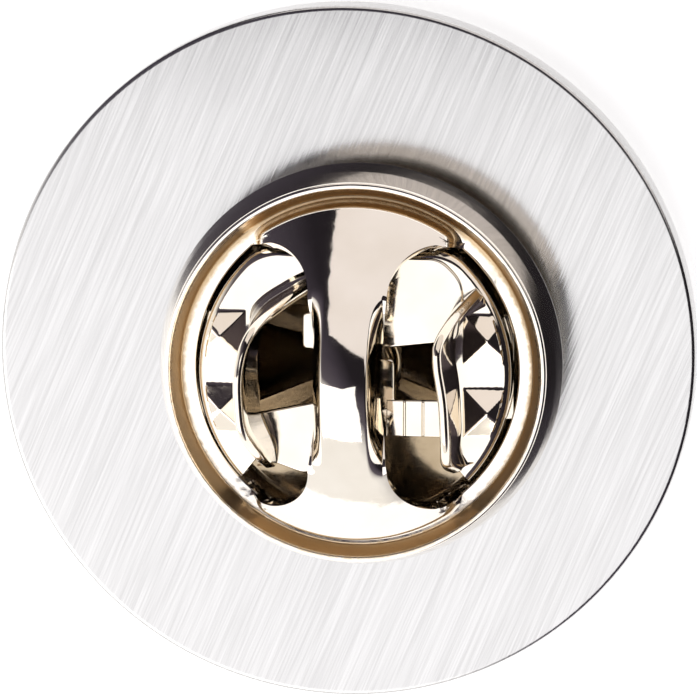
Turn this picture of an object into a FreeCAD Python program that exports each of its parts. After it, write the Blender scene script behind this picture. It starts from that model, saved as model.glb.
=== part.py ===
import FreeCAD, Part

import math
import os

import Sketcher
from FreeCAD import Vector

# Tie tack: a round plain badge disc with a nail post soldered to its back, held by a
# butterfly clutch. The clutch is a pressed base, a domed cap crimped over its edge, and
# a spring clip between them, whose two finger wings stand up through the cap's windows.
#
# Frame: origin at the centre of the disc's front face, +Z from that face along the post.
# The wings open the jaws when they are pinched towards each other along X, and the cap's
# bridge runs along Y. Millimetres.

DIMENSIONS = {
    # Badge disc and its post
    "disc_radius": 10.0,
    "disc_thick": 1.2,
    "disc_edge": 0.2,
    "post_x": 0.7,
    "post_y": 0.15,
    "post_radius": 0.55,
    "post_length": 7.0,
    "post_tip": 1.1,
    "post_point": 0.1,
    "groove_start": 4.9,
    "groove_width": 0.5,
    "groove_depth": 0.1,
    "head_radius": 1.6,
    "head_thick": 0.3,
    "solder_radius": 2.1,
    # Clutch as a whole: its gap from the disc's back, and its sheet metal
    "clutch_gap": 2.0,
    "sheet": 0.3,
    # Clutch base
    "base_flat": 4.55,
    "base_flange_inner": 4.85,
    "base_flange_outer": 5.3,
    "base_flange_rise": 0.4,
    "base_bend": 0.18,
    "eyelet_bore": 0.65,
    "eyelet_outer": 0.95,
    "eyelet_top": 1.1,
    # Clutch cap
    "cap_lip_radius": 5.05,
    "cap_lip_bottom": 0.05,
    "cap_radius": 5.7,
    "cap_widest": 0.75,
    "cap_lip_round": 0.72,
    "cap_wall_bulge": 3.2,
    "crest_radius": 5.31,
    "crest_inner": 5.03,
    "crest_round": 0.16,
    "crest_shoulder_z": 2.15,
    "cap_wall_inner_top": 1.88,
    "cap_lip_top": 0.37,
    "gutter_outer": 4.85,
    "gutter_inner": 4.6,
    "gutter_floor": 1.7,
    "dome_foot": 4.58,
    "dome_shoulder": 4.0,
    "dome_shoulder_z": 2.84,
    "dome_crown": 2.0,
    "dome_crown_z": 4.74,
    "dome_top": 5.5,
    "dome_shoulder_round": 12.0,
    "dome_inner_crown": 1.9,
    # Windows either side of the bridge
    "window_radius": 4.63,
    "window_half": 3.72,
    "window_corner_y": 2.5,
    "window_corner_round": 1.25,
    "bridge_end_half": 1.05,
    "bridge_waist_bulge": 9.0,
    # Spring clip strap
    "strap_half_x": 3.4,
    "strap_half_y": 1.9,
    "strap_corner": 0.57,
    "strap_bottom": 0.33,
    "strap_thick": 0.27,
    "strap_hole": 1.2,
    # Wings and jaws
    "pivot_x": 3.9,
    "pivot_z": 0.68,
    "knuckle_radius": 0.17,
    "knuckle_half": 1.5,
    "wing_thick": 0.26,
    "wing_foot_half": 1.6,
    "wing_foot_radius": 4.12,
    "wing_foot_inner": 3.78,
    "wing_radius": 4.38,
    "wing_waist_z": 1.7,
    "wing_bend": 0.4,
    "wing_bend_width": 0.3,
    "wing_half_y": 2.8,
    "wing_skirt_z": 1.35,
    "wing_skirt_rise": 0.5,
    "shoulder_z": 2.52,
    "shoulder_south_y": 2.6,
    "shoulder_north_y": 3.2,
    "shoulder_north_x": 1.5,
    "shoulder_flank_y": 2.3,
    "lip_x": 2.95,
    "lip_z": 5.85,
    "lip_north_y": 1.45,
    "lip_south_y": 2.35,
    "lip_root_z": 2.4,
    "lip_overhang": 0.06,
    "lip_top_half": 1.0,
    "lip_corner_z": 4.6,
    "lip_corner_round": 1.7,
    "stud_x": 3.64,
    "stud_spacing": 2.06,
    "stud_side": 1.3,
    "stud_rise": 0.34,
    "stud_root": 0.1,
    "jaw_inner_y": 0.75,
    "jaw_outer_y": 1.55,
    "jaw_root_x": 3.85,
    "jaw_grip_x": 0.6,
    "jaw_end_x": 1.15,
    "jaw_nose_y": 0.55,
}

STUD_TIP = 0.02
FULL_TURN = 360.0
SHELL_TURN = 110.0

doc = FreeCAD.newDocument("tie_tack")
sheet = doc.addObject("Spreadsheet::Sheet", "Dims")


class Size:
    """A length that knows its value and the sheet expression that it is bound to."""

    def __init__(self, value, text):
        self.value = value
        self.text = text

    def __add__(self, other):
        other = as_size(other)
        return Size(self.value + other.value, f"({self.text} + {other.text})")

    def __sub__(self, other):
        other = as_size(other)
        return Size(self.value - other.value, f"({self.text} - {other.text})")

    def __mul__(self, factor):
        return Size(self.value * factor, f"({self.text} * {factor})")

    def __neg__(self):
        return self * -1


def as_size(value):
    return value if isinstance(value, Size) else Size(value, str(value))


class Dimensions:
    """The sheet's cells, each read as a Size by its alias."""


def fill_sheet():
    cells = Dimensions()
    for row, (alias, value) in enumerate(DIMENSIONS.items(), start=1):
        sheet.set(f"A{row}", alias)
        sheet.set(f"B{row}", str(value))
        sheet.setAlias(f"B{row}", alias)
        setattr(cells, alias, Size(value, f"Dims.{alias}"))
    doc.recompute()
    return cells


dim = fill_sheet()
clutch_level = dim.disc_thick + dim.clutch_gap


def new_body(label):
    body = doc.addObject("PartDesign::Body", label)
    body.Label = label
    return body


def plane_of(body, role):
    return next(feature for feature in body.Origin.OriginFeatures if feature.Role == role)


def pin_point(sketch, geometry, end, x, y):
    """Hold one end of a sketch line or arc at x, y, bound to the sheet."""
    for axis, size in (("DistanceX", x), ("DistanceY", y)):
        size = as_size(size)
        row = sketch.addConstraint(
            Sketcher.Constraint(axis, -1, 1, geometry, end, size.value))
        sketch.setExpression(f"Constraints[{row}]", size.text)


def arc_between(start, end, radius, side):
    """Circle arc from start to end; side 1 bulges to the right of travel, -1 to the left."""
    chord = end - start
    middle = (start + end) * 0.5
    height = math.sqrt(radius ** 2 - (chord.Length / 2) ** 2)
    left = Vector(-chord.y, chord.x, 0).normalize()
    centre = middle + left * (height * side)
    crown = centre - left * (radius * side)
    return Part.Arc(start, crown, end) if side > 0 else Part.Arc(end, crown, start)


def draw_profile(sketch, corners):
    """Closed outline. Each corner is (x, y) for a straight run to the next corner, or
    (x, y, radius, side) for an arc to it."""
    points = [Vector(as_size(c[0]).value, as_size(c[1]).value, 0) for c in corners]
    for index, corner in enumerate(corners):
        start = points[index]
        end = points[(index + 1) % len(corners)]
        following = corners[(index + 1) % len(corners)]
        if len(corner) == 2:
            run = sketch.addGeometry(Part.LineSegment(start, end), False)
        else:
            radius = as_size(corner[2])
            arc = arc_between(start, end, radius.value, corner[3])
            run = sketch.addGeometry(arc, False)
            row = sketch.addConstraint(Sketcher.Constraint("Radius", run, radius.value))
            sketch.setExpression(f"Constraints[{row}]", radius.text)
        turned = sketch.Geometry[run].StartPoint.distanceToPoint(start) > 1e-6
        pin_point(sketch, run, 2 if turned else 1, corner[0], corner[1])
        pin_point(sketch, run, 1 if turned else 2, following[0], following[1])


def add_sketch(body, name, role, *loops, offset=None):
    sketch = body.newObject("Sketcher::SketchObject", name)
    sketch.AttachmentSupport = (plane_of(body, role), [""])
    sketch.MapMode = "FlatFace"
    if offset is not None:
        sketch.setExpression("AttachmentOffset.Base.z", as_size(offset).text)
    for corners in loops:
        draw_profile(sketch, corners)
    doc.recompute()
    return sketch


def add_circle_sketch(body, name, radius):
    sketch = body.newObject("Sketcher::SketchObject", name)
    sketch.AttachmentSupport = (plane_of(body, "XY_Plane"), [""])
    sketch.MapMode = "FlatFace"
    sketch.addGeometry(Part.Circle(Vector(0, 0, 0), Vector(0, 0, 1), radius.value), False)
    sketch.addConstraint(Sketcher.Constraint("Coincident", 0, 3, -1, 1))
    row = sketch.addConstraint(Sketcher.Constraint("Radius", 0, radius.value))
    sketch.setExpression(f"Constraints[{row}]", radius.text)
    doc.recompute()
    return sketch


def revolve(body, name, sketch, angle=FULL_TURN):
    """Turn a sketch about its own vertical axis, evenly to both sides of its plane."""
    feature = body.newObject("PartDesign::Revolution", name)
    feature.Profile = sketch
    feature.ReferenceAxis = (sketch, ["V_Axis"])
    feature.Angle = angle
    feature.Midplane = angle < FULL_TURN
    doc.recompute()
    return feature


def pad(body, name, sketch, length):
    feature = body.newObject("PartDesign::Pad", name)
    feature.Profile = sketch
    feature.setExpression("Length", as_size(length).text)
    doc.recompute()
    return feature


def pocket(body, name, sketch, length):
    """Cut a sketch out of the body to both sides, and stop if the cut missed the solid."""
    before = body.Shape.Volume
    feature = body.newObject("PartDesign::Pocket", name)
    feature.Profile = sketch
    feature.Midplane = True
    feature.setExpression("Length", as_size(length).text)
    doc.recompute()
    if body.Shape.Volume >= before - 1e-6:
        raise RuntimeError(f"{name} cuts nothing")
    return feature


def fillet_edges(body, name, radius, wanted):
    """Round the edges of the body's tip for which wanted(edge) is true."""
    base = body.Tip
    edges = [f"Edge{i}" for i, edge in enumerate(base.Shape.Edges, start=1) if wanted(edge)]
    if not edges:
        raise RuntimeError(f"{name} finds no edge")
    feature = body.newObject("PartDesign::Fillet", name)
    feature.Base = (base, edges)
    feature.setExpression("Radius", as_size(radius).text)
    doc.recompute()
    return feature


def on_post(body, level, turned=0.0):
    """Stand a body on the post's axis at a level above the disc's front face."""
    body.Placement.Rotation = FreeCAD.Rotation(Vector(0, 0, 1), turned)
    body.setExpression("Placement.Base.x", dim.post_x.text)
    body.setExpression("Placement.Base.y", dim.post_y.text)
    body.setExpression("Placement.Base.z", as_size(level).text)


def make_badge_disc():
    body = new_body("badge_disc")
    outline = add_circle_sketch(body, "disc_outline", dim.disc_radius)
    pad(body, "disc_blank", outline, dim.disc_thick)
    fillet_edges(body, "disc_rim_round", dim.disc_edge, lambda edge: True)
    return body


def make_pin_post():
    body = new_body("pin_post")
    waist = dim.post_radius - dim.groove_depth
    groove_end = dim.groove_start + dim.groove_width
    profile = add_sketch(body, "post_profile", "XZ_Plane", [
        (0, 0),
        (dim.head_radius, 0),
        (dim.head_radius, dim.head_thick),
        (dim.post_radius, dim.head_thick),
        (dim.post_radius, dim.groove_start),
        (waist, dim.groove_start + dim.groove_depth),
        (waist, groove_end - dim.groove_depth),
        (dim.post_radius, groove_end),
        (dim.post_radius, dim.post_length - dim.post_tip),
        (dim.post_point, dim.post_length),
        (0, dim.post_length),
    ])
    revolve(body, "post_turned", profile)
    on_post(body, dim.disc_thick)
    return body


def make_solder_bead():
    body = new_body("solder_bead")
    profile = add_sketch(body, "bead_profile", "XZ_Plane", [
        (dim.head_radius, 0),
        (dim.solder_radius, 0),
        (dim.head_radius, dim.head_thick),
    ])
    revolve(body, "bead_ring", profile)
    on_post(body, dim.disc_thick)
    return body


def make_clutch_base():
    body = new_body("clutch_base")
    flange_top = dim.base_flange_rise + dim.sheet
    profile = add_sketch(body, "base_profile", "XZ_Plane", [
        (dim.eyelet_bore, 0),
        (dim.base_flat, 0),
        (dim.base_flange_inner, dim.base_flange_rise),
        (dim.base_flange_outer, dim.base_flange_rise),
        (dim.base_flange_outer, flange_top),
        (dim.base_flange_inner - dim.base_bend, flange_top),
        (dim.base_flat - dim.base_bend, dim.sheet),
        (dim.eyelet_outer, dim.sheet),
        (dim.eyelet_outer, dim.eyelet_top),
        (dim.eyelet_bore, dim.eyelet_top),
    ])
    revolve(body, "base_pressing", profile)
    on_post(body, clutch_level)
    return body


def crown_radius(half, rise):
    """Radius of the ball whose cap has this half width and rise."""
    value = (half.value ** 2 + rise.value ** 2) / (2 * rise.value)
    return Size(value, f"(({half.text}) ^ 2 + ({rise.text}) ^ 2) / (2 * {rise.text})")


def cap_profile():
    """Half section of the cap's sheet: up the outside, over the dome, and back inside."""
    thick = dim.sheet
    rise = dim.dome_top - dim.dome_crown_z
    outer_ball = crown_radius(dim.dome_crown, rise)
    inner_ball = crown_radius(dim.dome_inner_crown, rise)
    return [
        (dim.cap_lip_radius, dim.cap_lip_bottom),
        (dim.cap_radius - thick, dim.cap_lip_bottom, dim.cap_lip_round, 1),
        (dim.cap_radius, dim.cap_widest, dim.cap_wall_bulge, 1),
        (dim.crest_radius, dim.crest_shoulder_z, dim.crest_round, 1),
        (dim.crest_inner, dim.crest_shoulder_z),
        (dim.gutter_outer, dim.gutter_floor),
        (dim.gutter_inner, dim.gutter_floor),
        (dim.dome_foot, dim.gutter_floor + thick),
        (dim.dome_shoulder, dim.dome_shoulder_z, dim.dome_shoulder_round, 1),
        (dim.dome_crown, dim.dome_crown_z, outer_ball, 1),
        (0, dim.dome_top),
        (0, dim.dome_top - thick, inner_ball, -1),
        (dim.dome_inner_crown, dim.dome_crown_z - thick, dim.dome_shoulder_round - thick, -1),
        (dim.dome_shoulder - thick, dim.dome_shoulder_z),
        (dim.dome_foot - thick, dim.gutter_floor),
        (dim.gutter_inner - thick, dim.gutter_floor - thick),
        (dim.crest_inner, dim.gutter_floor - thick),
        (dim.crest_radius - thick, dim.cap_wall_inner_top),
        (dim.cap_radius - thick, dim.cap_widest + thick),
        (dim.cap_radius - thick, dim.cap_lip_top),
        (dim.cap_lip_radius, dim.cap_lip_top),
    ]


def window_outline():
    """D-shaped opening on the +X side: bridge edge, round ends, and an arc by the gutter."""
    corner_x = dim.bridge_end_half + dim.window_corner_round
    rim_x = Size(
        math.sqrt(dim.window_radius.value ** 2 - dim.window_half.value ** 2),
        "sqrt(Dims.window_radius ^ 2 - Dims.window_half ^ 2)")
    return [
        (dim.bridge_end_half, dim.window_corner_y, dim.bridge_waist_bulge, -1),
        (dim.bridge_end_half, -dim.window_corner_y, dim.window_corner_round, 1),
        (corner_x, -dim.window_half),
        (rim_x, -dim.window_half, dim.window_radius, 1),
        (rim_x, dim.window_half),
        (corner_x, dim.window_half, dim.window_corner_round, 1),
    ]


def make_clutch_cap():
    body = new_body("clutch_cap")
    profile = add_sketch(body, "cap_profile", "XZ_Plane", cap_profile())
    revolve(body, "cap_pressing", profile)
    window = add_sketch(body, "window_outline", "XY_Plane", window_outline())
    cut = pocket(body, "window", window, dim.dome_top * 2)
    pattern = body.newObject("PartDesign::PolarPattern", "window_pair")
    pattern.Originals = [cut]
    pattern.Axis = (window, ["N_Axis"])
    pattern.Angle = FULL_TURN
    pattern.Occurrences = 2
    body.Tip = pattern
    doc.recompute()
    on_post(body, clutch_level)
    return body


def make_spring_strap():
    body = new_body("spring_strap")
    cut = dim.strap_corner
    outline = add_sketch(body, "strap_outline", "XY_Plane", [
        (dim.strap_half_x, -dim.strap_half_y + cut),
        (dim.strap_half_x, dim.strap_half_y - cut),
        (dim.strap_half_x - cut, dim.strap_half_y),
        (-dim.strap_half_x + cut, dim.strap_half_y),
        (-dim.strap_half_x, dim.strap_half_y - cut),
        (-dim.strap_half_x, -dim.strap_half_y + cut),
        (-dim.strap_half_x + cut, -dim.strap_half_y),
        (dim.strap_half_x - cut, -dim.strap_half_y),
    ], offset=dim.strap_bottom)
    pad(body, "strap_plate", outline, dim.strap_thick)
    hole = add_circle_sketch(body, "strap_hole_circle", dim.strap_hole)
    pocket(body, "strap_hole", hole, (dim.strap_bottom + dim.strap_thick) * 2)
    on_post(body, clutch_level)
    return body


def wing_section():
    """Section of the wing's skirt, from its foot up over the bend into the shoulder."""
    thick = dim.wing_thick
    bend_z = dim.shoulder_z - dim.wing_bend
    bend_x = dim.wing_radius - dim.wing_bend
    inner_z = dim.shoulder_z - thick
    return [
        (dim.wing_foot_radius, dim.pivot_z),
        (dim.wing_radius, dim.wing_waist_z),
        (dim.wing_radius, bend_z, dim.wing_bend, 1),
        (bend_x, dim.shoulder_z),
        (bend_x - dim.wing_bend_width, dim.shoulder_z),
        (bend_x - dim.wing_bend_width, inner_z),
        (bend_x, inner_z, dim.wing_bend - thick, -1),
        (dim.wing_radius - thick, bend_z),
        (dim.wing_radius - thick, dim.wing_waist_z),
        (dim.wing_foot_inner, dim.pivot_z),
    ]


def skirt_outline():
    """The skirt seen from the side: narrow at the foot, broad above."""
    half = dim.wing_half_y
    above = dim.shoulder_z + dim.wing_bend
    return [
        (-dim.wing_foot_half, 0),
        (dim.wing_foot_half, 0),
        (dim.wing_foot_half, dim.wing_skirt_z),
        (half, dim.wing_skirt_z + dim.wing_skirt_rise),
        (half, above),
        (-half, above),
        (-half, dim.wing_skirt_z + dim.wing_skirt_rise),
        (-dim.wing_foot_half, dim.wing_skirt_z),
    ]


def on_circle(radius, y):
    """The x of a circle about the post at this y."""
    value = math.sqrt(radius.value ** 2 - y.value ** 2)
    return Size(value, f"sqrt(({radius.text}) ^ 2 - ({y.text}) ^ 2)")


def shoulder_outline(north):
    """The level shoulder seen from above. Its flank reaches for the bridge at the end that
    north points to, 1 or -1 along the body's own Y."""
    rim = dim.wing_radius - dim.wing_bend - dim.wing_bend_width * 0.5
    back = dim.lip_x - dim.wing_thick + dim.lip_overhang
    return [
        (on_circle(rim, dim.shoulder_south_y), dim.shoulder_south_y * -north, rim, north),
        (on_circle(rim, dim.shoulder_north_y), dim.shoulder_north_y * north),
        (dim.shoulder_north_x, dim.shoulder_north_y * north),
        (dim.shoulder_north_x, dim.shoulder_flank_y * north),
        (back, dim.lip_north_y * north),
        (back, dim.lip_south_y * -north),
    ]


def lip_outline(north):
    """The upright lip seen from the side: broad at the shoulder, round at the top."""
    return [
        (dim.lip_south_y * -north, dim.lip_root_z),
        (dim.lip_north_y * north, dim.lip_root_z),
        (dim.lip_north_y * north, dim.lip_corner_z, dim.lip_corner_round, north),
        (dim.lip_top_half * north, dim.lip_z),
        (dim.lip_top_half * -north, dim.lip_z, dim.lip_corner_round, north),
        (dim.lip_south_y * -north, dim.lip_corner_z),
    ]


def add_stud(body, name, side):
    """One pressed four-sided finger stud, standing up from the wing's shoulder."""
    stud = body.newObject("PartDesign::AdditiveWedge", name)
    half = dim.stud_side * 0.5
    stud.setExpression("Xmin", (-half).text)
    stud.setExpression("Xmax", half.text)
    stud.setExpression("Zmin", (-half).text)
    stud.setExpression("Zmax", half.text)
    for tip_side in ("X2min", "X2max", "Z2min", "Z2max"):
        tip = -STUD_TIP if tip_side.endswith("min") else STUD_TIP
        setattr(stud, tip_side, tip)
    stud.Ymin = 0
    stud.setExpression("Ymax", (dim.stud_rise + dim.stud_root).text)
    stud.Placement.Rotation = FreeCAD.Rotation(Vector(1, 0, 0), 90)
    stud.setExpression("Placement.Base.x", dim.stud_x.text)
    stud.setExpression("Placement.Base.y", (dim.stud_spacing * (side * 0.5)).text)
    stud.setExpression("Placement.Base.z", (dim.shoulder_z - dim.stud_root).text)
    doc.recompute()


def add_jaw(body, label):
    """Flat arm from the wing past the post, hooked so that it grips the post's far side."""
    outline = add_sketch(body, f"{label}_jaw_outline", "XY_Plane", [
        (dim.jaw_root_x, dim.jaw_inner_y),
        (dim.jaw_root_x, dim.jaw_outer_y),
        (-dim.jaw_end_x, dim.jaw_outer_y),
        (-dim.jaw_end_x, -dim.jaw_nose_y),
        (-dim.jaw_grip_x, -dim.jaw_nose_y),
        (-dim.jaw_grip_x, dim.jaw_inner_y),
    ], offset=dim.shoulder_z - dim.wing_thick)
    pad(body, f"{label}_jaw", outline, dim.wing_thick)


def add_knuckle(body, label):
    """Rolled foot on the flex line, parallel to Y, that joins the wing to the strap."""
    knuckle = body.newObject("PartDesign::AdditiveCylinder", f"{label}_knuckle")
    knuckle.setExpression("Radius", dim.knuckle_radius.text)
    knuckle.setExpression("Height", (dim.knuckle_half * 2).text)
    knuckle.setExpression("Placement.Base.x", dim.pivot_x.text)
    knuckle.setExpression("Placement.Base.y", dim.knuckle_half.text)
    knuckle.setExpression("Placement.Base.z", dim.pivot_z.text)
    knuckle.Placement.Rotation = FreeCAD.Rotation(Vector(1, 0, 0), 90)
    doc.recompute()


def make_wing(label, turned, north):
    """Wing for the +X side, with its jaw; turned stands it round the post, and north is
    the end of the body's own Y that then faces +Y."""
    body = new_body(label)
    section = add_sketch(body, f"{label}_section", "XZ_Plane", wing_section())
    revolve(body, f"{label}_skirt", section, angle=SHELL_TURN)
    beyond = dim.cap_radius * 2
    surround = [(-beyond, -beyond), (beyond, -beyond), (beyond, beyond), (-beyond, beyond)]
    outline = add_sketch(body, f"{label}_outline", "YZ_Plane", surround, skirt_outline())
    pocket(body, f"{label}_trim", outline, beyond * 2)
    inner_z = dim.shoulder_z - dim.wing_thick
    shoulder = add_sketch(
        body, f"{label}_shoulder_outline", "XY_Plane", shoulder_outline(north),
        offset=inner_z)
    pad(body, f"{label}_shoulder", shoulder, dim.wing_thick)
    back = dim.lip_x - dim.wing_thick
    lip = add_sketch(body, f"{label}_lip_outline", "YZ_Plane", lip_outline(north), offset=back)
    pad(body, f"{label}_lip", lip, dim.wing_thick)
    for side in (-1, 1):
        add_stud(body, f"{label}_stud_{'front' if side < 0 else 'back'}", side)
    add_jaw(body, label)
    add_knuckle(body, label)
    on_post(body, clutch_level, turned)
    return body


def check_and_export(bodies):
    doc.recompute()
    for item in doc.Objects:
        if "Invalid" in item.State or "Error" in item.State:
            raise RuntimeError(f"{item.Label} failed: {item.State}")
    for body in bodies:
        shape = body.Shape
        if shape.isNull() or not shape.isValid() or len(shape.Solids) != 1:
            raise RuntimeError(f"{body.Label} is not one valid solid")
    os.makedirs("parts", exist_ok=True)
    for body in bodies:
        body.Shape.exportStep(f"parts/{body.Label}.step")
        box = body.Shape.BoundBox
        print(f"{body.Label}: {body.Shape.Volume:.3f} mm3, z {box.ZMin:.2f} to {box.ZMax:.2f}")


check_and_export([
    make_badge_disc(),
    make_solder_bead(),
    make_pin_post(),
    make_clutch_base(),
    make_spring_strap(),
    make_clutch_cap(),
    make_wing("right_wing", 0.0, 1),
    make_wing("left_wing", 180.0, -1),
])
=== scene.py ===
import math

import bmesh
import bpy
from mathutils import Matrix, Vector


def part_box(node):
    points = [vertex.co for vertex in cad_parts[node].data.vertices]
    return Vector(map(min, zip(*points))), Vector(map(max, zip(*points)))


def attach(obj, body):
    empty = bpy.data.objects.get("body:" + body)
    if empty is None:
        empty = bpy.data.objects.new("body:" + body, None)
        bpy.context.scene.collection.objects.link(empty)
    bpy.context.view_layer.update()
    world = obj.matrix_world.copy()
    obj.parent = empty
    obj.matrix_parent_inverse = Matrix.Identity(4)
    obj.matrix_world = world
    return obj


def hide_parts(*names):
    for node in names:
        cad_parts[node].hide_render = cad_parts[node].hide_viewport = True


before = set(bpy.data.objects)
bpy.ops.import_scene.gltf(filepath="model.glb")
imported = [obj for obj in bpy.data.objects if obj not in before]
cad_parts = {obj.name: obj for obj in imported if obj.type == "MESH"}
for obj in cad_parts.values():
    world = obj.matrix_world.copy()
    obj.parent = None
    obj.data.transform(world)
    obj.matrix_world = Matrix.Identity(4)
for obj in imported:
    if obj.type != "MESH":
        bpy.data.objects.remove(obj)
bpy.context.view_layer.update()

# Lengths are millimetres in a piece's own frame, until new_piece() puts the piece in place.
# The studio at the end is in metres.
MM = 0.001
LATHE_STEPS = 288


def box_mm(node):
    """A CAD node's box, as its low and high corners in millimetres."""
    low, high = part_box(node)
    return Vector(low) / MM, Vector(high) / MM


disc_low, disc_high = box_mm("badge_disc")
post_low, post_high = box_mm("pin_post")
bead_low, bead_high = box_mm("solder_bead")
base_low, base_high = box_mm("clutch_base")
cap_low, cap_high = box_mm("clutch_cap")
strap_low, strap_high = box_mm("spring_strap")

DISC_RADIUS = (disc_high.x - disc_low.x) / 2
DISC_THICK = disc_high.z
POST_AXIS = Vector(((cap_low.x + cap_high.x) / 2, (cap_low.y + cap_high.y) / 2, 0))
CLUTCH = POST_AXIS + Vector((0, 0, base_low.z))
CAP_RADIUS = (cap_high.x - cap_low.x) / 2
# Thickness of the pressed metal of the clutch's base and cap
SHEET = 0.3


# ---------------------------------------------------------------- mesh helpers

def new_piece(name, mesh_data, body, replaced, material, place):
    """Make an object from a bmesh in millimetres, put it in place and hand it to the frame."""
    bmesh.ops.recalc_face_normals(mesh_data, faces=mesh_data.faces)
    mesh = bpy.data.meshes.new(name)
    mesh_data.to_mesh(mesh)
    mesh_data.free()
    mesh.transform(Matrix.Scale(MM, 4) @ Matrix.Translation(place))
    # The big flat faces of plates stay flat, and everything else is smooth
    for polygon in mesh.polygons:
        polygon.use_smooth = len(polygon.vertices) <= 4
    piece = bpy.data.objects.new(name, mesh)
    bpy.context.scene.collection.objects.link(piece)
    mesh.materials.append(material)
    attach(piece, body)
    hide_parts(replaced)


def rounded(corners, steps=6):
    """Closed outline through (x, y, radius) corners, each turned into a short arc."""
    points = []
    count = len(corners)
    for index, (x, y, radius) in enumerate(corners):
        here = Vector((x, y))
        before = Vector(corners[index - 1][:2]) - here
        after = Vector(corners[(index + 1) % count][:2]) - here
        if radius <= 0 or before.length < 1e-9 or after.length < 1e-9:
            points.append(here)
            continue
        turn = before.angle(after)
        reach = min(radius / math.tan(turn / 2), before.length * 0.49, after.length * 0.49)
        start = here + before.normalized() * reach
        end = here + after.normalized() * reach
        for step in range(steps + 1):
            t = step / steps
            points.append(start * (1 - t) ** 2 + here * (2 * t * (1 - t)) + end * t ** 2)
    return points


def lathe(mesh_data, outline, steps=LATHE_STEPS):
    """Turn a closed (radius, height) outline about the vertical axis."""
    rings = []
    for step in range(steps):
        angle = 2 * math.pi * step / steps
        cosine, sine = math.cos(angle), math.sin(angle)
        rings.append([
            mesh_data.verts.new((p.x * cosine, p.x * sine, p.y)) for p in outline])
    for step in range(steps):
        here, there = rings[step], rings[(step + 1) % steps]
        for index in range(len(outline)):
            ahead = (index + 1) % len(outline)
            mesh_data.faces.new((here[index], there[index], there[ahead], here[ahead]))
    bmesh.ops.remove_doubles(mesh_data, verts=mesh_data.verts, dist=1e-5)
    bmesh.ops.dissolve_degenerate(mesh_data, edges=mesh_data.edges, dist=1e-5)


def smooth_step(value, low, high):
    """0 below low, 1 above high, and a smooth climb between."""
    t = min(1.0, max(0.0, (value - low) / (high - low)))
    return t * t * (3 - 2 * t)


def shell_from(rows, thick, edge_round):
    """Closed sheet of metal: the rows are its outer face, and its edges are rounded."""
    mesh_data = bmesh.new()
    made = [[mesh_data.verts.new(point) for point in row] for row in rows]
    for low, high in zip(made, made[1:]):
        for index in range(len(low) - 1):
            mesh_data.faces.new((low[index], low[index + 1], high[index + 1], high[index]))
    mesh = bpy.data.meshes.new("sheet_face")
    mesh_data.to_mesh(mesh)
    mesh_data.free()
    carrier = bpy.data.objects.new("sheet_face", mesh)
    bpy.context.scene.collection.objects.link(carrier)
    solid = carrier.modifiers.new("thickness", "SOLIDIFY")
    solid.thickness = thick
    solid.offset = -1
    solid.use_even_offset = False
    bevel = carrier.modifiers.new("edges", "BEVEL")
    bevel.width = edge_round
    bevel.segments = 4
    bevel.limit_method = "ANGLE"
    bevel.angle_limit = math.radians(60)
    graph = bpy.context.evaluated_depsgraph_get()
    done = carrier.evaluated_get(graph).to_mesh()
    result = bmesh.new()
    result.from_mesh(done)
    bpy.data.objects.remove(carrier)
    bpy.data.meshes.remove(mesh)
    return result


def plate(outline, low, high, edge_round):
    """Flat plate from an outline, with rounded edges."""
    mesh_data = bmesh.new()
    floor = [mesh_data.verts.new((p.x, p.y, low)) for p in outline]
    face = mesh_data.faces.new(floor)
    raised = bmesh.ops.extrude_face_region(mesh_data, geom=[face])
    verts = [item for item in raised["geom"] if isinstance(item, bmesh.types.BMVert)]
    bmesh.ops.translate(mesh_data, verts=verts, vec=(0, 0, high - low))
    bmesh.ops.recalc_face_normals(mesh_data, faces=mesh_data.faces)
    rims = [edge for edge in mesh_data.edges
            if abs(edge.verts[0].co.z - edge.verts[1].co.z) < 1e-9]
    bmesh.ops.bevel(mesh_data, geom=rims, offset=edge_round, segments=3, affect="EDGES",
                    profile=0.5, clamp_overlap=True)
    return mesh_data


def merge(*parts):
    """Join several bmeshes into the first."""
    whole = parts[0]
    for part in parts[1:]:
        mesh = bpy.data.meshes.new("joined")
        part.to_mesh(mesh)
        part.free()
        whole.from_mesh(mesh)
        bpy.data.meshes.remove(mesh)
    return whole


# ---------------------------------------------------------------- materials

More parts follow.
